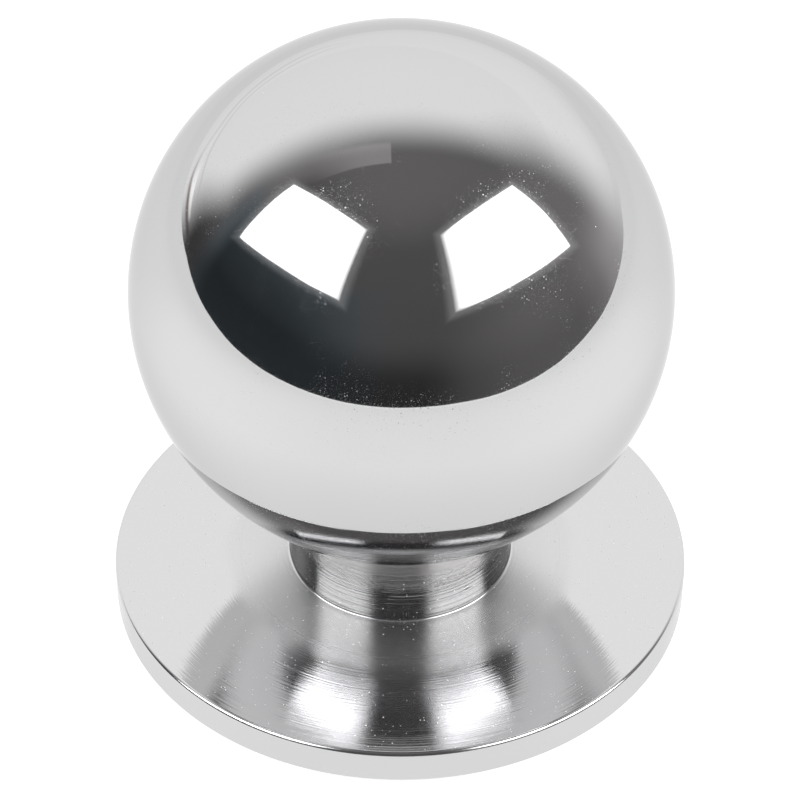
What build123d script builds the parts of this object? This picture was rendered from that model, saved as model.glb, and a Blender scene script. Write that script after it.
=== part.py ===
from build123d import *
import math
import os

# Ball knob for furniture, turned in metal: a polished ball seated on a turned base.
# The base is one piece: a round plate, a neck and the spigot that the ball is bonded on.
# Millimetres, +Z up. The origin is the middle of the flat underside.

# Ball
ball_diameter = 30.0
# The flat turned on the ball's underside is this much wider than the neck, all round.
seat_land = 0.2

# Base plate. Its top rises gently from the rim, and a little more steeply inside a faint ring.
plate_diameter = 33.3
plate_rim_thickness = 2.18
plate_slope = 1.2
ring_diameter = 18.7
ring_slope = 3.2
plate_top_round = 0.25
plate_bottom_chamfer = 0.2

# Neck, from its foot on the plate to the ball's seat. It narrows a little towards the ball.
neck_foot_diameter = 12.94
neck_taper = 2.5
neck_length = 5.32
neck_foot_fillet = 0.13
neck_top_chamfer = 0.2

# Spigot on the neck's end, and the bore in the ball that it fits
spigot_diameter = 7.0
spigot_length = 5.5
spigot_end_chamfer = 0.4
spigot_clearance = 0.02
spigot_end_gap = 0.5
ball_bore_mouth_chamfer = 0.4

# Hole tapped M4 in the underside, drawn at its drilled size
thread_hole_diameter = 3.3
thread_hole_depth = 10.0
thread_hole_mouth_chamfer = 0.4

# Both blind holes end in the cone of the drill
drill_point_angle = 118.0

# Sizes that follow from those above
ball_radius = ball_diameter / 2
plate_radius = plate_diameter / 2
ring_radius = ring_diameter / 2
ring_height = plate_rim_thickness + (plate_radius - ring_radius) * math.tan(math.radians(plate_slope))
foot_radius = neck_foot_diameter / 2
foot_height = ring_height + (ring_radius - foot_radius) * math.tan(math.radians(ring_slope))
neck_top_radius = foot_radius - neck_length * math.tan(math.radians(neck_taper))
spigot_radius = spigot_diameter / 2
seat_radius = neck_top_radius + seat_land
seat_height = foot_height + neck_length
spigot_top = seat_height + spigot_length
ball_middle = seat_height + math.sqrt(ball_radius**2 - seat_radius**2)


def turned(points):
    """A solid turned about the Z axis from half of its section, given as radius and height."""
    outline = Polyline(*[(radius, 0, height) for radius, height in points], close=True)
    return revolve(make_face(outline), axis=Axis.Z)


def ring_edge(solid, radius, height):
    """The circular edge that lies at this radius and height."""
    rings = solid.edges().filter_by(GeomType.CIRCLE)
    return rings.sort_by(lambda ring: abs(ring.radius - radius) + abs(ring.center().Z - height))[0]


def drilled_hole(radius, bottom, depth, mouth_chamfer):
    """The space of a blind hole drilled upwards: a chamfered mouth, a straight wall and a cone."""
    cone_height = radius / math.tan(math.radians(drill_point_angle / 2))
    return turned([
        (0, bottom),
        (radius + mouth_chamfer, bottom),
        (radius, bottom + mouth_chamfer),
        (radius, bottom + depth),
        (0, bottom + depth + cone_height),
    ])


def make_base():
    """Plate, neck and spigot in one turned piece, with the tapped hole in its underside."""
    base = turned([
        (0, 0),
        (plate_radius, 0),
        (plate_radius, plate_rim_thickness),
        (ring_radius, ring_height),
        (foot_radius, foot_height),
        (neck_top_radius, seat_height),
        (spigot_radius, seat_height),
        (spigot_radius, spigot_top),
        (0, spigot_top),
    ])
    base = fillet(ring_edge(base, foot_radius, foot_height), neck_foot_fillet)
    base = fillet(ring_edge(base, plate_radius, plate_rim_thickness), plate_top_round)
    base = chamfer(ring_edge(base, plate_radius, 0), plate_bottom_chamfer)
    base = chamfer(ring_edge(base, neck_top_radius, seat_height), neck_top_chamfer)
    base = chamfer(ring_edge(base, spigot_radius, spigot_top), spigot_end_chamfer)
    hole = drilled_hole(thread_hole_diameter / 2, 0, thread_hole_depth, thread_hole_mouth_chamfer)
    return base - hole


def make_ball():
    """The ball, faced flat where it sits on the neck and bored for the spigot."""
    ball = Pos(0, 0, ball_middle) * Sphere(ball_radius)
    ball = split(ball, bisect_by=Plane.XY.offset(seat_height), keep=Keep.TOP)
    bore_radius = spigot_radius + spigot_clearance
    bore_depth = spigot_length + spigot_end_gap
    return ball - drilled_hole(bore_radius, seat_height, bore_depth, ball_bore_mouth_chamfer)


def save(solid, node):
    """Write one piece to its own STEP file, named after its node."""
    solid.label = node
    export_step(solid, os.path.join("parts", node + ".step"))


os.makedirs("parts", exist_ok=True)
save(make_base(), "base")
save(make_ball(), "ball")
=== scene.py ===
import math

import bpy
import numpy as np
from mathutils import Matrix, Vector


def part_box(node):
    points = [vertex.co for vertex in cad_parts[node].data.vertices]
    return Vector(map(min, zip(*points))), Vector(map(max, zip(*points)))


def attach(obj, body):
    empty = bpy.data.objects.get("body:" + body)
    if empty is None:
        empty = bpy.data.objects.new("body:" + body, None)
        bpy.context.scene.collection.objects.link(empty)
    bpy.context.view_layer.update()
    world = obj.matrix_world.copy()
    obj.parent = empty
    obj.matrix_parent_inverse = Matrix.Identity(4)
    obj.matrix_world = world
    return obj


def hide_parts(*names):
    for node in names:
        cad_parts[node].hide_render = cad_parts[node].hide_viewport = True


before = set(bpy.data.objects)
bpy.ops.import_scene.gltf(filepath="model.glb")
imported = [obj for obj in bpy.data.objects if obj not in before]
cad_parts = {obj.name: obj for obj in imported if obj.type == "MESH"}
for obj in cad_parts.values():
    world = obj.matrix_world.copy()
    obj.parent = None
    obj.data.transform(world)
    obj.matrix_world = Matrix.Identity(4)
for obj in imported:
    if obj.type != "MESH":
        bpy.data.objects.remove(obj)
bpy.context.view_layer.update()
MM = 0.001


# The base is one turned piece: a round plate, a neck and the hidden spigot that holds the ball.
# It is plain steel, cut on a lathe. The plate's top is buffed over the cutting marks, the neck
# keeps them, and a hole tapped M4 runs up from the flat underside.
plate_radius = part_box("base")[1].x
plate_rim_thickness = 2.18 * MM
plate_slope = 1.2
ring_radius = 9.35 * MM
ring_slope = 3.2
plate_top_round = 0.25 * MM
plate_bottom_chamfer = 0.2 * MM
foot_radius = 6.47 * MM
neck_taper = 2.5
neck_foot_fillet = 0.13 * MM
neck_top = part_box("ball")[0].z
neck_top_chamfer = 0.2 * MM
spigot_radius = 3.5 * MM
spigot_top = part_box("base")[1].z
spigot_end_chamfer = 0.4 * MM
thread_crest_radius = 1.65 * MM
thread_root_radius = 2.0 * MM
thread_pitch = 0.7 * MM
thread_top = 10.0 * MM
mouth_chamfer = 0.4 * MM
drill_point_slope = math.tan(math.radians(118 / 2))
base_sides = 256
rows_in_a_pitch = 10
edge_hold = 0.03 * MM
sharp_edge_angle = 25
trace = 0.001 * MM


def run(start, end, rows=2, hold=0.0):
    """Points on a straight stretch of a half section, from start to end. With a hold, one more
    point lies that far inside each end, so that a small round beside it doesn't bend the shading."""
    start, end = np.array(start), np.array(end)
    share = np.linspace(0, 1, rows)
    if hold:
        near = hold / np.linalg.norm(end - start)
        share = np.sort(np.append(share, [near, 1 - near]))
    return start + share[:, None] * (end - start)


def arc(middle, radius, start, end, rows=9):
    """Points on a round stretch of a half section: middle + radius * (cos a, sin a), a in degrees."""
    turn = np.radians(np.linspace(start, end, rows))
    return np.array(middle) + radius * np.stack([np.cos(turn), np.sin(turn)], axis=1)


def small_round(corner, radius, first, second, rows=9):
    """Points of the round between two straight stretches that meet in a corner, and whose outward
    normals stand at the angles first and second in degrees. Its middle is corner + radius * m,
    where m lies 1 out along both normals, and its points are middle - radius * (cos a, sin a).
    In a hollow corner the radius counts above 0, and on an edge that stands out below 0."""
    normals = np.radians([first, second])
    both = np.stack([np.cos(normals), np.sin(normals)], axis=1)
    middle = np.array(corner) + radius * np.linalg.solve(both, [1, 1])
    return arc(middle, -radius, first, second, rows)


def turned_piece(name, section, sides, relief=None):
    """A half section of (radius, height) points carried round the Z axis. The point of row i at
    the angle a lies at ((r + relief) cos a, (r + relief) sin a, z). Both ends lie on the axis,
    where the rows close to one point. Points that repeat the one before them are left out."""
    apart = np.linalg.norm(np.diff(section, axis=0), axis=1) > 1e-9
    section = section[np.append(True, apart)]
    angle = np.arange(sides) * 2 * math.pi / sides
    radius = np.repeat(section[1:-1, :1], sides, axis=1)
    height = np.repeat(section[1:-1, 1:], sides, axis=1)
    if relief is not None:
        radius = radius + relief(radius, height, angle[None, :])
    grid = np.stack([radius * np.cos(angle), radius * np.sin(angle), height], axis=2)
    first_tip = [[0, 0, section[0, 1]]]
    last_tip = [[0, 0, section[-1, 1]]]
    points = np.concatenate([first_tip, grid.reshape(-1, 3), last_tip])
    rows = len(section) - 2
    number = 1 + np.arange(rows * sides).reshape(rows, sides)
    beside = np.roll(number, -1, axis=1)
    quads = np.stack([number[:-1], beside[:-1], beside[1:], number[1:]], axis=2).reshape(-1, 4)
    first_fan = np.stack([beside[0], number[0], np.zeros(sides, int)], axis=1)
    last_fan = np.stack([number[-1], beside[-1], np.full(sides, len(points) - 1)], axis=1)
    mesh = bpy.data.meshes.new(name)
    mesh.from_pydata(points.tolist(), [], first_fan.tolist() + quads.tolist() + last_fan.tolist())
    mesh.shade_smooth()
    mesh.set_sharp_from_angle(angle=math.radians(sharp_edge_angle))
    piece = bpy.data.objects.new(name, mesh)
    bpy.context.scene.collection.objects.link(piece)
    return piece


def thread_relief(radius, height, angle):
    """How far the thread's groove goes into the wall. Along the axis it is a V of 60 degrees with
    a flat root, moved by one pitch in a turn, and it runs out over the last pitch."""
    along = (height / thread_pitch - angle / (2 * math.pi)) % 1 - 0.5
    half_width = 0.35 * thread_pitch
    flank = (half_width - np.abs(along) * thread_pitch) / math.tan(math.radians(30))
    depth = np.clip(flank, 0, thread_root_radius - thread_crest_radius)
    run_out = np.clip((thread_top - height) / thread_pitch, 0, 1)
    on_wall = np.abs(radius - thread_crest_radius) < trace
    return np.where(on_wall, depth * run_out, 0)


thread_rows = round((thread_top - mouth_chamfer) / thread_pitch * rows_in_a_pitch)
hole_tip = thread_top + thread_crest_radius / drill_point_slope
ring_height = plate_rim_thickness + (plate_radius - ring_radius) * math.tan(math.radians(plate_slope))
foot_height = ring_height + (ring_radius - foot_radius) * math.tan(math.radians(ring_slope))
neck_slope = math.tan(math.radians(neck_taper))
neck_top_radius = foot_radius - (neck_top - foot_height) * neck_slope
neck_end = (neck_top_radius + neck_top_chamfer * neck_slope, neck_top - neck_top_chamfer)
rim_round = small_round((plate_radius, plate_rim_thickness), -plate_top_round, 0, 90 - plate_slope)
foot_round = small_round((foot_radius, foot_height), neck_foot_fillet, 90 - ring_slope, neck_taper)
base_section = np.concatenate([
    run((0, hole_tip), (thread_crest_radius, thread_top)),
    run((thread_crest_radius, thread_top), (thread_crest_radius, mouth_chamfer), thread_rows),
    run((thread_crest_radius + mouth_chamfer, 0), (plate_radius - plate_bottom_chamfer, 0), 5),
    run((plate_radius, plate_bottom_chamfer), rim_round[0], 3, edge_hold),
    rim_round,
    run(rim_round[-1], (ring_radius, ring_height), 12, edge_hold),
    run((ring_radius, ring_height), foot_round[0], 6, edge_hold),
    foot_round,
    run(foot_round[-1], neck_end, 12, edge_hold),
    run((neck_top_radius - neck_top_chamfer, neck_top), (spigot_radius, neck_top)),
    run((spigot_radius, neck_top), (spigot_radius, spigot_top - spigot_end_chamfer)),
    run((spigot_radius - spigot_end_chamfer, spigot_top), (0, spigot_top)),
])
base = turned_piece("turned_base", base_section, base_sides, thread_relief)


def put(tree, kind, values=None, **settings):
    """Adds a node with its settings. Each value goes to the input of that name or number: an
    output of another node is linked, and anything else is set."""
    node = tree.nodes.new("ShaderNode" + kind)
    for name, setting in settings.items():
        setattr(node, name, setting)
    for name, value in (values or {}).items():
        if isinstance(value, bpy.types.NodeSocket):
            tree.links.new(value, node.inputs[name])
        else:
            node.inputs[name].default_value = value
    return node


def maths(tree, operation, first, second=0.0):
    """The result of one sum on two numbers or outputs."""
    return put(tree, "Math", {0: first, 1: second}, operation=operation).outputs[0]


def distance_from(tree, value, middle):
    """How far a value lies from a middle one, to either side."""
    return maths(tree, "ABSOLUTE", maths(tree, "SUBTRACT", value, middle))


def total(tree, *values):
    """The sum of several numbers or outputs."""
    result = values[0]
    for value in values[1:]:
        result = maths(tree, "ADD", result, value)
    return result


def product(tree, *values):
    """The product of several numbers or outputs."""
    result = values[0]
    for value in values[1:]:
        result = maths(tree, "MULTIPLY", result, value)
    return result


def vectors(tree, operation, first, second=(0, 0, 0)):
    """The vector that comes of two vectors."""
    return put(tree, "VectorMath", {0: first, 1: second}, operation=operation).outputs[0]


def length(tree, vector):
    """How long a vector is."""
    return put(tree, "VectorMath", {0: vector}, operation="LENGTH").outputs["Value"]


def between(tree, value, low, high, to_low=0.0, to_high=1.0):
    """Goes softly from to_low to to_high while the value goes from low to high."""
    inputs = {"Value": value, "From Min": low, "From Max": high, "To Min": to_low, "To Max": to_high}
    return put(tree, "MapRange", inputs, interpolation_type="SMOOTHSTEP").outputs[0]


def colours(tree, share, first, second):
    """A colour that goes from the first to the second as the share goes from 0 to 1."""
    return put(tree, "Mix", {0: share, 6: first, 7: second}, data_type="RGBA").outputs[2]


def noise(tree, place, scale, detail=2.0, roughness=0.5):
    """Smooth noise round 0.5, whose largest grains are one part in scale of a metre."""
    values = {"Vector": place, "Scale": scale, "Detail": detail, "Roughness": roughness}
    return put(tree, "TexNoise", values).outputs[0]


def new_effect(name, inputs, outputs):
    """An empty shader node group. Inputs are names with their usual values, outputs are names."""
    group = bpy.data.node_groups.new(name, "ShaderNodeTree")
    for socket, usual in inputs.items():
        made = group.interface.new_socket(socket, in_out="INPUT", socket_type="NodeSocketFloat")
        made.default_value = usual
    for socket in outputs:
        group.interface.new_socket(socket, in_out="OUTPUT", socket_type="NodeSocketFloat")
    given = group.nodes.new("NodeGroupInput")
    result = group.nodes.new("NodeGroupOutput")
    return group, given.outputs, result.inputs


def use_effect(tree, group, values):
    """Places a node group in a material, with its values set or linked, and gives its outputs."""
    node = tree.nodes.new("ShaderNodeGroup")
    node.node_tree = group
    for name, value in values.items():
        if isinstance(value, bpy.types.NodeSocket):
            tree.links.new(value, node.inputs[name])
        else:
            node.inputs[name].default_value = value
    return node.outputs


def new_material(name, edge_tint):
    """A metal material with an empty node tree, its Principled shader and the point on the piece.
    An edge tint below 1 dims the metal where it is seen at a slant."""
    material = bpy.data.materials.new(name)
    material.use_nodes = True
    tree = material.node_tree
    tree.nodes.clear()
    slant_colour = (edge_tint, edge_tint, edge_tint, 1)
    shader = put(tree, "BsdfPrincipled", {"Metallic": 1.0, "Specular Tint": slant_colour})
    output = tree.nodes.new("ShaderNodeOutputMaterial")
    tree.links.new(shader.outputs[0], output.inputs[0])
    place = put(tree, "TexCoord").outputs["Object"]
    return material, tree, shader, place


# Cutting marks: the fine rings that the tool's feed leaves. Their height is a wave, one to a
# pitch, with finer lines of uneven depth that run right round, and scratches that run out after a
# few millimetres.
turning_marks, given, result = new_effect(
    "turning_marks", {"Across": 0.0, "Pitch": 0.2, "Wave": 0.5, "Scratches": 0.5}, ["Height"]
)
place = put(turning_marks, "TexCoord").outputs["Object"]
drift = maths(turning_marks, "SUBTRACT", noise(turning_marks, place, scale=120.0), 0.5)
turns = maths(turning_marks, "DIVIDE", given["Across"], given["Pitch"])
turns = total(turning_marks, turns, product(turning_marks, drift, 0.15))
wave = maths(turning_marks, "SINE", product(turning_marks, turns, 2 * math.pi))
lines = put(
    turning_marks, "TexNoise", {"W": turns, "Scale": 1.3, "Detail": 3.0, "Roughness": 0.6},
    noise_dimensions="1D",
).outputs[0]
parts = put(turning_marks, "SeparateXYZ", {0: place}).outputs
flat = put(turning_marks, "CombineXYZ", {0: parts[0], 1: parts[1]}).outputs[0]
way_out = vectors(turning_marks, "NORMALIZE", flat)
lengthwise = vectors(turning_marks, "MULTIPLY", way_out, (1.3, 1.3, 0))
spread = vectors(
    turning_marks, "ADD", lengthwise, put(turning_marks, "CombineXYZ", {2: turns}).outputs[0]
)
short_lines = noise(turning_marks, spread, scale=2.2, roughness=0.6)
turning_marks.links.new(
    total(
        turning_marks, lines, product(turning_marks, wave, given["Wave"]),
        product(turning_marks, short_lines, given["Scratches"]),
    ),
    result["Height"],
)

# Dust: dull pale specks of a tenth of a millimetre or less, in some of the cells of a random
# pattern. Size is a speck's radius as a share of a cell, and Amount the share of cells with one.
dust_colour = (0.8, 0.79, 0.77, 1)
dust, given, result = new_effect(
    "dust", {"Cells": 1500.0, "Size": 0.12, "Amount": 0.2}, ["Mask"]
)
place = put(dust, "TexCoord").outputs["Object"]
specks = put(dust, "TexVoronoi", {"Vector": place, "Scale": given["Cells"]})
lot = put(dust, "SeparateColor", {0: specks.outputs["Color"]}).outputs
chosen = maths(dust, "LESS_THAN", lot[0], given["Amount"])
reach = product(dust, given["Size"], total(dust, lot[1], 0.3))
near = maths(dust, "LESS_THAN", specks.outputs["Distance"], reach)
dust.links.new(product(dust, chosen, near), result["Mask"])

# Hairlines: the short shallow scratches that wiping leaves on bright metal. They are the thin
# lines where stretched noise passes its middle value, kept only in scattered patches.
hairlines, given, result = new_effect(
    "hairlines", {"Grain": 1500.0, "Width": 0.02, "Amount": 0.5}, ["Mask"]
)
place = put(hairlines, "TexCoord").outputs["Object"]
long_way = put(hairlines, "Mapping", {"Vector": place, "Rotation": (0.4, 0.7, 0.3), "Scale": (1, 0.25, 1)})
streaks = noise(hairlines, long_way.outputs[0], given["Grain"], detail=1.0)
thin = maths(hairlines, "LESS_THAN", distance_from(hairlines, streaks, 0.5), given["Width"])
patches = noise(hairlines, place, scale=900.0, detail=3.0, roughness=0.7)
kept = between(hairlines, patches, maths(hairlines, "SUBTRACT", 1.0, given["Amount"]), 0.9)
hairlines.links.new(product(hairlines, thin, kept), result["Mask"])


def ring_distance(tree, place):
    """How far a point lies from the turning axis, and its height, from its Object coordinates."""
    parts = put(tree, "SeparateXYZ", {0: place}).outputs
    flat = put(tree, "CombineXYZ", {0: parts[0], 1: parts[1]}).outputs[0]
    return length(tree, flat), parts[2]


def across_the_marks(tree, place):
    """The direction across the cutting marks: the surface's normal crossed with the way round."""
    normal = put(tree, "NewGeometry").outputs["Normal"]
    way_round = vectors(tree, "CROSS_PRODUCT", (0, 0, 1), place)
    return vectors(tree, "NORMALIZE", vectors(tree, "CROSS_PRODUCT", normal, way_round))


def lay_dust(tree, shader, mask, metal, roughness):
    """Where the mask is 1, dust takes the place of the bare metal, with its own colour and dullness."""
    tree.links.new(colours(tree, mask, metal, dust_colour), shader.inputs["Base Color"])
    tree.links.new(maths(tree, "SUBTRACT", 1.0, mask), shader.inputs["Metallic"])
    tree.links.new(maths(tree, "MAXIMUM", roughness, mask), shader.inputs["Roughness"])


# The plate's buffed top mirrors sharply along the cutting marks and is drawn out across them. It
# is duller inside the ring and a little beyond it, beside the neck, where the wheel didn't reach.
steel_colour = (0.645, 0.645, 0.652, 1)
plate_pitch = 0.17 * MM
plate_mark_depth = 0.002 * MM
buffed_reach = 3.0 * MM
plate_steel, tree, shader, place = new_material("plate_steel", 0.86)
from_axis, _ = ring_distance(tree, place)
from_ring = distance_from(tree, from_axis, ring_radius)
marks = use_effect(
    tree, turning_marks, {"Across": from_axis, "Pitch": plate_pitch, "Wave": 0.05, "Scratches": 0.6}
)["Height"]
specks = use_effect(tree, dust, {"Cells": 5200.0, "Size": 0.14, "Amount": 0.4})["Mask"]
ragged = product(tree, noise(tree, place, scale=260.0, detail=3.0), -1.0 * MM)
unpolished = between(
    tree, total(tree, from_axis, ragged), ring_radius - 0.35 * MM, ring_radius + 1.1 * MM, 1.0, 0.0
)
dullness = total(tree, 0.06, product(tree, unpolished, 0.2))
ring_line = between(tree, from_ring, 0.0, 0.05 * MM, 0.04, 0.0)
lay_dust(tree, shader, specks, steel_colour, total(tree, dullness, ring_line))
shader.inputs["Anisotropic"].default_value = 0.98
tree.links.new(across_the_marks(tree, place), shader.inputs["Tangent"])
relief = product(tree, marks, total(tree, 1.9, product(tree, unpolished, -0.2)))
bump = put(tree, "Bump", {"Height": relief, "Distance": plate_mark_depth, "Strength": 1.0})

# Buffing rounded the step in the slope at the ring. Within its reach the surface looks filled by
# step * (reach - distance)^2 / (4 * reach), which lets one slope go evenly into the other.
slope_step = math.tan(math.radians(ring_slope)) - math.tan(math.radians(plate_slope))
inside_reach = maths(tree, "MAXIMUM", maths(tree, "SUBTRACT", buffed_reach, from_ring), 0.0)
filled = product(tree, inside_reach, inside_reach, slope_step / (4 * buffed_reach))
buffed = put(tree, "Bump", {"Height": filled, "Distance": 1.0, "Normal": bump.outputs[0]})
tree.links.new(buffed.outputs[0], shader.inputs["Normal"])

# The rim, the underside, the hole and the neck's foot, cut like the top and left as they came. The
# foot is a little duller.
rim_steel, tree, shader, place = new_material("rim_steel", 0.86)
from_axis, up = ring_distance(tree, place)
along_section = total(tree, from_axis, up)
marks = use_effect(
    tree, turning_marks, {"Across": along_section, "Pitch": plate_pitch, "Wave": 0.2, "Scratches": 0.8}
)["Height"]
specks = use_effect(tree, dust, {"Cells": 1200.0, "Size": 0.08, "Amount": 0.04})["Mask"]
dullness = between(tree, noise(tree, place, scale=400.0, detail=3.0), 0.3, 0.7, 0.1, 0.16)
at_foot = between(tree, from_axis, ring_radius - 1.0 * MM, ring_radius, 0.03, 0.0)
lay_dust(tree, shader, specks, steel_colour, total(tree, dullness, at_foot))
shader.inputs["Anisotropic"].default_value = 0.8
tree.links.new(across_the_marks(tree, place), shader.inputs["Tangent"])
bump = put(tree, "Bump", {"Height": marks, "Distance": plate_mark_depth, "Strength": 1.0})
tree.links.new(bump.outputs[0], shader.inputs["Normal"])

# The neck: plain cutting marks below, and above them a rough band that the tool tore, with a pair
# of deeper grooves at its lower edge. A small nick lies in the right side, below the band.
# Both neck colours are painted darker than the same steel of the plate: painted shade.
neck_painted_shade_colour = (0.41, 0.41, 0.41, 1)
torn_band_painted_shade_colour = (0.48, 0.474, 0.47, 1)
# The nick's dent is real; its near-white colour is a painted glint.
nick_painted_glint_colour = (0.9, 0.9, 0.9, 1)
neck_pitch = 0.26 * MM
neck_mark_depth = 0.009 * MM
band_bottom = 4.55 * MM
groove_heights = (4.52 * MM, 4.8 * MM)
groove_half_width = 0.06 * MM
nick_place = (3.72 * MM, -5.08 * MM, 3.9 * MM)
nick_half_size = (0.33 * MM, 0.33 * MM, 0.13 * MM)
# Its low edge tint dims the neck strongly where it is seen at a slant: painted shade.
neck_steel_with_painted_light, tree, shader, place = new_material("neck_steel_with_painted_light", 0.38)
_, up = ring_distance(tree, place)
marks = use_effect(
    tree, turning_marks, {"Across": up, "Pitch": neck_pitch, "Wave": 0.05, "Scratches": 0.5}
)["Height"]
cuts = put(
    tree, "TexNoise", {"W": maths(tree, "DIVIDE", up, neck_pitch), "Scale": 1.1, "Detail": 1.0},
    noise_dimensions="1D",
).outputs[0]
shallow_places = between(tree, noise(tree, place, scale=140.0), 0.35, 0.6, 0.3, 1.0)
cuts = product(tree, between(tree, cuts, 0.48, 0.63, 0.0, 1.7), shallow_places)
specks = use_effect(tree, dust, {"Cells": 5200.0, "Size": 0.14, "Amount": 0.15})["Mask"]
ragged = maths(tree, "SUBTRACT", noise(tree, place, scale=500.0, detail=4.0, roughness=0.7), 0.5)
ragged = product(tree, ragged, 1.2 * MM)
band = between(tree, total(tree, up, ragged), band_bottom - 0.1 * MM, band_bottom + 0.5 * MM)
pressed = vectors(tree, "MULTIPLY", place, (1, 1, 2.4))
torn = noise(tree, pressed, scale=2100.0, detail=3.0, roughness=0.75)
height = total(tree, product(tree, marks, 1.1), cuts, product(tree, torn, band, 3.4))
for groove in groove_heights:
    near = between(tree, distance_from(tree, up, groove), 0.0, groove_half_width, -0.9, 0.0)
    height = total(tree, height, near)
from_nick = vectors(tree, "DIVIDE", vectors(tree, "SUBTRACT", place, nick_place), nick_half_size)
nick_share = length(tree, from_nick)
height = total(tree, height, between(tree, nick_share, 0.2, 1.0, -4.0, 0.0))
overhead = between(tree, up, 5.2 * MM, 6.4 * MM, 0.0, 0.06)
dullness = total(tree, 0.06, product(tree, band, 0.18), overhead)
# Here the neck and its band take their painted shade, and the nick its painted glint.
metal = colours(tree, band, neck_painted_shade_colour, torn_band_painted_shade_colour)
metal = colours(tree, between(tree, nick_share, 0.4, 0.8, 1.0, 0.0), metal, nick_painted_glint_colour)
lay_dust(tree, shader, specks, metal, dullness)
shader.inputs["Anisotropic"].default_value = 0.98
tree.links.new(across_the_marks(tree, place), shader.inputs["Tangent"])
bump = put(tree, "Bump", {"Height": height, "Distance": neck_mark_depth, "Strength": 1.0})
tree.links.new(bump.outputs[0], shader.inputs["Normal"])

# The faces take their material by place: the flat top, the neck above its foot, and the rest.
for material in (rim_steel, plate_steel, neck_steel_with_painted_light):
    base.data.materials.append(material)
centres = np.zeros(len(base.data.polygons) * 3)
base.data.polygons.foreach_get("center", centres)
centres = centres.reshape(-1, 3)
out = np.hypot(centres[:, 0], centres[:, 1])
above_rim = centres[:, 2] > plate_rim_thickness - trace
on_top = above_rim & (out > foot_radius + 0.5 * neck_foot_fillet)
above_foot = centres[:, 2] > foot_height + 0.6 * neck_foot_fillet
on_neck = above_foot & (out > 0.9 * neck_top_radius) & ~on_top
base.data.polygons.foreach_set("material_index", np.where(on_neck, 2, on_top).astype(np.int32))
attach(base, "root")
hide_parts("base")


# The ball is solid steel, polished to a mirror. A small flat on its underside sits on the neck,
# and the base's spigot is bonded in its bore.
ball_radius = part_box("ball")[1].x
ball_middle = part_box("ball")[1].z - ball_radius
seat_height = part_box("ball")[0].z
seat_radius = math.sqrt(ball_radius**2 - (ball_middle - seat_height) ** 2)
bore_radius = 3.52 * MM
bore_mouth_chamfer = 0.4 * MM
bore_top = seat_height + 6.0 * MM
ball_sides = 320
ball_rows = 160

seat_angle = math.degrees(math.asin((seat_height - ball_middle) / ball_radius))
ball_section = np.concatenate([
    run((0, bore_top + bore_radius / drill_point_slope), (bore_radius, bore_top)),
    run((bore_radius, bore_top), (bore_radius, seat_height + bore_mouth_chamfer)),
    run((bore_radius + bore_mouth_chamfer, seat_height), (seat_radius, seat_height)),
    arc((0, ball_middle), ball_radius, seat_angle, 90, ball_rows),
])
ball_section[-1, 0] = 0
ball = turned_piece("polished_ball", ball_section, ball_sides)

# The ball's polish is worn in places, with bright scuffs, a haze and fine hairlines, and a little
# dust lies on it. Polishing has left its surface faintly wavy.
mirror_colour = (0.61, 0.61, 0.615, 1)
mirror_steel, tree, shader, place = new_material("mirror_steel", 0.79)
sparks = use_effect(tree, dust, {"Cells": 8000.0, "Size": 0.3, "Amount": 0.18})["Mask"]
worn_places = noise(tree, place, scale=170.0, detail=3.0, roughness=0.6)
worn_places = between(tree, worn_places, 0.45, 0.6)
sparks = product(tree, sparks, worn_places)
fine = use_effect(tree, hairlines, {"Grain": 5200.0, "Width": 0.02, "Amount": 0.4})["Mask"]
haze = between(tree, noise(tree, place, scale=24000.0, roughness=0.7), 0.62, 0.7)
haze = product(tree, haze, total(tree, 0.3, product(tree, worn_places, 0.7)))
specks = use_effect(tree, dust, {"Cells": 1500.0, "Size": 0.06, "Amount": 0.05})["Mask"]
worn = product(tree, sparks, 0.27)
for marks in (product(tree, haze, 0.3), product(tree, fine, 0.16)):
    worn = maths(tree, "MAXIMUM", worn, marks)
lay_dust(tree, shader, specks, mirror_colour, total(tree, 0.03, worn))
peel = noise(tree, place, scale=900.0)
ripple = noise(tree, place, scale=240.0, detail=1.0)
wavy = total(tree, product(tree, peel, 0.0006), product(tree, ripple, 0.013))
bump = put(tree, "Bump", {"Height": wavy, "Distance": 1.0 * MM, "Strength": 1.0})
tree.links.new(bump.outputs[0], shader.inputs["Normal"])
ball.data.materials.append(mirror_steel)
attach(ball, "root")
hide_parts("ball")


# The studio: a white table whose near edge shows in the ball, a white wall behind, a dark room on
# the camera's side, and two square lamps. The table lies a hair below the underside, so that the
# two don't share a plane, and it is clear from below, so that the underside can be seen.
studio_light = 1.16
edge_middle = -175 * MM
left_edge_slope = 0.3
right_edge_slope = 0.66
edge_bend = 60 * MM
table_reach = 6.0
table_height = -0.02 * MM
table_columns = 81
middle_crowding = 5


def table_edge(across):
    """The near edge is a rounded corner whose two sides fall back, each by its own slope:
    middle + slope * (sqrt(across^2 + bend^2) - bend)."""
    slope = np.where(across < 0, left_edge_slope, right_edge_slope)
    return edge_middle + slope * (np.sqrt(across**2 + edge_bend**2) - edge_bend)


across = np.linspace(-middle_crowding, middle_crowding, table_columns)
across = np.sinh(across) / math.sinh(middle_crowding) * table_reach
near_edge = np.stack([across, table_edge(across), np.full(table_columns, table_height)], axis=1)
far_edge = near_edge.copy()
far_edge[:, 1] = table_reach
table_points = np.concatenate([near_edge, far_edge])
near = np.arange(table_columns - 1)
far = near + table_columns
table_faces = np.stack([near, near + 1, far + 1, far], axis=1)
table_mesh = bpy.data.meshes.new("table")
table_mesh.from_pydata(table_points.tolist(), [], table_faces.tolist())
back_along = np.where(table_faces < table_columns, 0.0, 1.0).reshape(-1)
spots = np.stack([0 * back_along, back_along], axis=1)
table_mesh.uv_layers.new(name="from_edge").data.foreach_set("uv", spots.reshape(-1))
table = bpy.data.objects.new("table", table_mesh)
bpy.context.scene.collection.objects.link(table)
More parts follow.
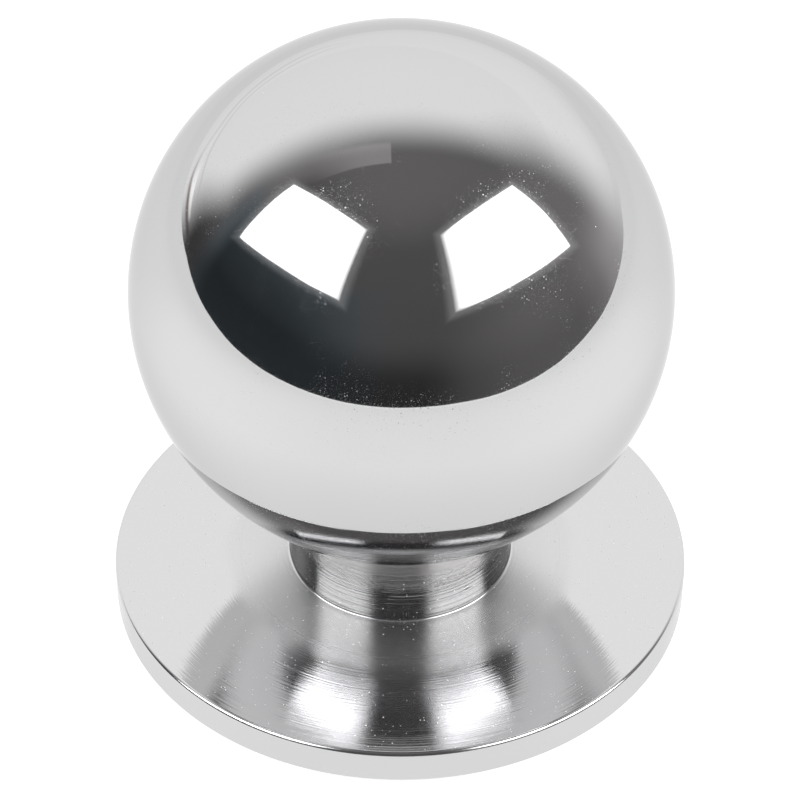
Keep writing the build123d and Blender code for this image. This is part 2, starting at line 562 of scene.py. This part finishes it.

# To the camera the table is pale paper that glows. In the metal it shows as a plain light, with a
# painted highlight on its edge, painted light beside the knob, painted shadow under and behind it.
white = (1, 1, 1, 1)
table_white = bpy.data.materials.new("table_white")
table_white.use_nodes = True
tree = table_white.node_tree
tree.nodes.clear()
rays = put(tree, "LightPath").outputs
mirrored = maths(tree, "MAXIMUM", rays["Is Glossy Ray"], rays["Is Transmission Ray"])
paper = put(tree, "BsdfDiffuse", {"Color": (0.4, 0.4, 0.4, 1)}).outputs[0]
glow = put(tree, "Emission", {"Color": white, "Strength": 0.8}).outputs[0]
seen = put(tree, "AddShader", {0: paper, 1: glow}).outputs[0]
spot = put(tree, "TexCoord").outputs["Object"]
parts = put(tree, "SeparateXYZ", {0: spot}).outputs
far_off = length(tree, spot)
# Painted light and shade on the table as the metal shows it: light that falls off away from the knob,
# brighter sides, a painted edge highlight, and painted shadow under the knob and behind it.
painted_light_falloff = between(tree, far_off, 25 * MM, 260 * MM, 1.01, 0.88)
to_one_side = maths(tree, "DIVIDE", maths(tree, "ABSOLUTE", parts[0]), far_off)
nearby = between(tree, far_off, 60 * MM, 200 * MM, 1.0, 0.0)
painted_side_light = product(tree, between(tree, to_one_side, 0.3, 1.0, 0.0, 0.05), nearby)
painted_shade_behind = product(tree, between(tree, parts[1], 0.0, 40 * MM, 0.0, -0.08), nearby)
from_edge = put(tree, "SeparateXYZ", {0: put(tree, "UVMap").outputs[0]}).outputs[1]
painted_edge_highlight = between(tree, from_edge, 0.001, 0.003, 0.12, 0.0)
painted_knob_shadow = between(tree, far_off, 18 * MM, 45 * MM, -0.1, 0.0)
painted_paper_light = total(tree, painted_light_falloff, painted_knob_shadow, painted_side_light, painted_shade_behind, painted_edge_highlight)
painted_paper_light = product(tree, painted_paper_light, studio_light)
shown_in_metal = put(tree, "Emission", {"Color": white, "Strength": painted_paper_light}).outputs[0]
from_above = put(tree, "MixShader", {0: mirrored, 1: seen, 2: shown_in_metal}).outputs[0]
from_below = put(tree, "NewGeometry").outputs["Backfacing"]
clear = put(tree, "BsdfTransparent").outputs[0]
either = put(tree, "MixShader", {0: from_below, 1: from_above, 2: clear}).outputs[0]
put(tree, "OutputMaterial", {0: either})
table_mesh.materials.append(table_white)


def pulse(tree, value, middle, half_width):
    """A soft line: 1 where the value is at its middle, and 0 a half width away."""
    return between(tree, distance_from(tree, value, middle), 0.0, half_width, 1.0, 0.0)


def grey(tree, level):
    """The colour whose red, green and blue are all at this level."""
    return put(tree, "CombineXYZ", {0: level, 1: level, 2: level}).outputs[0]


# The room and the wall are the world, painted by direction: x to the right, y away from the camera
# and z up, each from -1 to 1. The room is dark, darkest at the left, and gets lighter upwards, to
# the right and towards the wall. A pale card hangs overhead in it.
cool_tint = (0.82, 1.0, 1.12, 1)
warm_tint = (1.02, 0.98, 0.985, 1)
seam_brown = (0.16, 0.09, 0.065, 1)
world = bpy.data.worlds.new("studio")
bpy.context.scene.world = world
world.use_nodes = True
tree = world.node_tree
tree.nodes.clear()
x, y, z = put(tree, "SeparateXYZ", {0: put(tree, "TexCoord").outputs["Generated"]}).outputs
right_side = between(tree, x, 0.2, 0.95)
left_side = between(tree, x, -0.85, -0.15, 1.0, 0.0)
height_light = total(
    tree, 0.03, between(tree, z, 0.0, 0.35, 0.0, 0.045), product(tree, z, 0.02),
    between(tree, z, 0.8, 1.0, 0.0, 0.055),
)
lamp_spill = product(tree, right_side, 0.06)
low_right = product(
    tree, between(tree, x, 0.1, 0.5), between(tree, z, 0.05, 0.4, 1.0, 0.0),
    total(tree, 0.03, between(tree, y, 0.0, 0.3, 0.0, 0.15)),
)
left_dark = product(
    tree, left_side, between(tree, z, -0.05, 0.2), between(tree, z, 0.3, 0.75, 0.56, 0.0)
)
room_light = total(tree, height_light, lamp_spill, low_right)
room_light = product(tree, room_light, maths(tree, "SUBTRACT", 1.0, left_dark))
early_right = product(
    tree, right_side, between(tree, y, -0.25, 0.15, 0.0, 0.1), between(tree, z, 0.1, 0.45, 1.0, 0.4)
)
early_left = product(
    tree, left_side, between(tree, y, -0.02, 0.15, 0.0, 0.08), between(tree, z, 0.05, 0.4, 0.25, 1.0)
)
upper_left = product(
    tree, between(tree, x, -0.5, -0.1, 0.06, 0.0), between(tree, z, 0.5, 0.8),
    between(tree, y, 0.0, 0.2),
)
card_edge = maths(tree, "SUBTRACT", y, product(tree, x, 0.06))
card = product(
    tree, between(tree, x, -0.072, -0.066, 1.0, 0.0), between(tree, x, -0.6, -0.15),
    between(tree, card_edge, 0.056, 0.066), between(tree, y, 0.19, 0.24, 1.0, 0.0),
    between(tree, z, 0.4, 0.6), 0.15,
)
room_light = total(tree, room_light, early_right, early_left, upper_left, card)
warmth = between(tree, x, -0.75, 0.15)
for share in (between(tree, y, 0.0, 0.3), between(tree, z, 0.45, 0.7)):
    warmth = maths(tree, "MAXIMUM", warmth, share)
tint = colours(tree, warmth, cool_tint, warm_tint)
room = vectors(tree, "MULTIPLY", tint, grey(tree, room_light))

# The wall starts at a soft line across the room, earlier or later by place. Low in its left part
# run two brown seams, and a bright strip lies at the far left.
away = maths(tree, "SUBTRACT", y, product(tree, x, 0.035))
late_right = product(tree, between(tree, x, 0.2, 0.5), between(tree, z, 0.55, 0.85, 1.0, 0.0))
late_left = product(tree, between(tree, x, -0.5, -0.2, 1.0, 0.0), between(tree, z, 0.1, 0.42, 0.15, 0.0))
wall_start = total(
    tree, 0.12, product(tree, right_side, 0.02), product(tree, left_side, 0.05), late_left,
    product(tree, late_right, 0.06),
)
wall_full = total(tree, 0.53, product(tree, left_side, -0.02), late_left, product(tree, late_right, 0.12))
wall = between(tree, away, wall_start, wall_full)
outer_rise = total(
    tree, 0.042, between(tree, x, -0.8, -0.6, 0.0, 0.05), between(tree, x, -0.25, -0.08, 0.0, 0.07)
)
inner_rise = total(
    tree, 0.118, between(tree, x, -0.93, -0.8, 0.0, 0.02), between(tree, x, -0.6, -0.1, 0.0, 0.034)
)
outer_fade = product(
    tree, between(tree, x, -0.86, -0.68, 0.8, 0.16), between(tree, x, -0.35, -0.08, 1.0, 0.0)
)
inner_fade = product(
    tree, between(tree, x, -0.9, -0.8, 0.0, 0.2), between(tree, x, -0.35, -0.08, 1.0, 0.0)
)
seams = maths(
    tree, "MAXIMUM",
    product(tree, pulse(tree, z, outer_rise, 0.024), outer_fade),
    product(tree, pulse(tree, z, inner_rise, 0.013), inner_fade),
)
seams = product(tree, seams, between(tree, y, 0.3, 0.38))
strip = product(
    tree, between(tree, z, 0.045, 0.06),
    between(tree, total(tree, z, product(tree, x, -0.25)), 0.293, 0.305, 1.0, 0.0),
    between(tree, x, -0.92, -0.74, 0.85, 0.03), between(tree, y, 0.39, 0.43),
)
low_wall = product(tree, between(tree, x, 0.3, 0.6), between(tree, z, 0.0, 0.2, -0.1, 0.0))
wall_light = total(tree, 0.97, strip, low_wall)
wall_colour = colours(tree, seams, grey(tree, wall_light), seam_brown)
surround = colours(tree, wall, room, wall_colour)
to_camera = put(tree, "LightPath").outputs["Is Camera Ray"]
final = colours(tree, to_camera, surround, white)
strength = between(tree, to_camera, 0.0, 1.0, studio_light, 1.0)
background = put(tree, "Background", {"Color": final, "Strength": strength}).outputs[0]
put(tree, "OutputWorld", {0: background})

# The lamps: their cloth is brighter towards the outer side and dims at its edge, and a faint glow
# lies round them. Corners are in degrees, first the turn from the camera's side to the right and
# then the height above level: inner top, outer top, outer bottom and inner bottom.
lamp_corners = {
    "left_lamp": [(-29.0, 61.2), (-95.6, 50.2), (-88.3, 24.6), (-29.8, 31.3)],
    "right_lamp": [(30.3, 58.9), (96.2, 49.1), (88.4, 21.1), (24.8, 28.0)],
}
lamp_strengths = {"left_lamp": (1.6, 4.9), "right_lamp": (0.7, 4.6)}
lamp_distance = 0.6
inner_part = 0.24
edge_share = 0.05
edge_dimness = 0.42
lamp_glow = 0.15
glow_reach = 0.12
lamp_rows = 25
share = np.linspace(-glow_reach, 1 + glow_reach, lamp_rows)
number = np.arange(lamp_rows**2).reshape(lamp_rows, lamp_rows)
lamp_faces = [number[:-1, :-1], number[:-1, 1:], number[1:, 1:], number[1:, :-1]]
lamp_faces = np.stack(lamp_faces, axis=2).reshape(-1, 4)
down, outward = np.meshgrid(share, share, indexing="ij")
for name, corners in lamp_corners.items():
    turn, tilt = np.radians(corners).T
    way_out = np.stack([np.sin(turn) * np.cos(tilt), -np.cos(turn) * np.cos(tilt), np.sin(tilt)], axis=1)
    points = np.array([0, 0, ball_middle]) + lamp_distance * way_out
    # A point of the cloth is the mean of the four corners, each weighted by how near it is.
    weights = [(1 - outward) * (1 - down), outward * (1 - down), outward * down, (1 - outward) * down]
    points = np.stack(weights, axis=2).reshape(-1, 4) @ points
    mesh = bpy.data.meshes.new(name)
    mesh.from_pydata(points.tolist(), [], lamp_faces.tolist())
    at_corners = lamp_faces.reshape(-1)
    spots = np.stack([outward.reshape(-1)[at_corners], down.reshape(-1)[at_corners]], axis=1)
    mesh.uv_layers.new(name="cloth").data.foreach_set("uv", spots.reshape(-1))
    lamp_light = bpy.data.materials.new(name)
    lamp_light.use_nodes = True
    tree = lamp_light.node_tree
    tree.nodes.clear()
    spot = put(tree, "SeparateXYZ", {0: put(tree, "UVMap").outputs[0]}).outputs
    to_edge = maths(tree, "MINIMUM", spot[0], spot[1])
    for i in (0, 1):
        to_edge = maths(tree, "MINIMUM", to_edge, maths(tree, "SUBTRACT", 1.0, spot[i]))
    inner_strength, outer_strength = lamp_strengths[name]
    cloth = put(tree, "MapRange", {
        "Value": spot[0], "From Max": inner_part, "To Min": inner_strength, "To Max": outer_strength
    }).outputs[0]
    cloth = product(
        tree, cloth, between(tree, to_edge, -0.006, 0.01),
        between(tree, to_edge, 0.0, edge_share, edge_dimness, 1.0),
    )
    glow = between(tree, to_edge, -glow_reach, 0.0, 0.0, lamp_glow)
    shine = put(tree, "Emission", {"Color": white, "Strength": total(tree, cloth, glow)}).outputs[0]
    clear = put(tree, "BsdfTransparent").outputs[0]
    put(tree, "OutputMaterial", {0: put(tree, "AddShader", {0: shine, 1: clear}).outputs[0]})
    mesh.materials.append(lamp_light)
    lamp = bpy.data.objects.new(name, mesh)
    lamp.visible_camera = False
    bpy.context.scene.collection.objects.link(lamp)


# The camera looks down at the knob from the front through a long lens, held a trace off level.
camera_elevation = math.radians(40.76)
camera_distance = 190.6 * MM
aim_height = 13.56 * MM
camera_roll = math.radians(0.27)
camera = bpy.data.objects.new("camera", bpy.data.cameras.new("camera"))
bpy.context.scene.collection.objects.link(camera)
camera.data.sensor_width = 36
camera.data.lens = 152
camera.data.clip_start = 0.01
camera.location = (
    -0.05 * MM,
    -camera_distance * math.cos(camera_elevation),
    aim_height + camera_distance * math.sin(camera_elevation),
)
looking_down = Matrix.Rotation(math.pi / 2 - camera_elevation, 3, "X")
camera.rotation_euler = (looking_down @ Matrix.Rotation(camera_roll, 3, "Z")).to_euler()
bpy.context.scene.camera = camera
bpy.context.scene.view_settings.view_transform = "Standard"
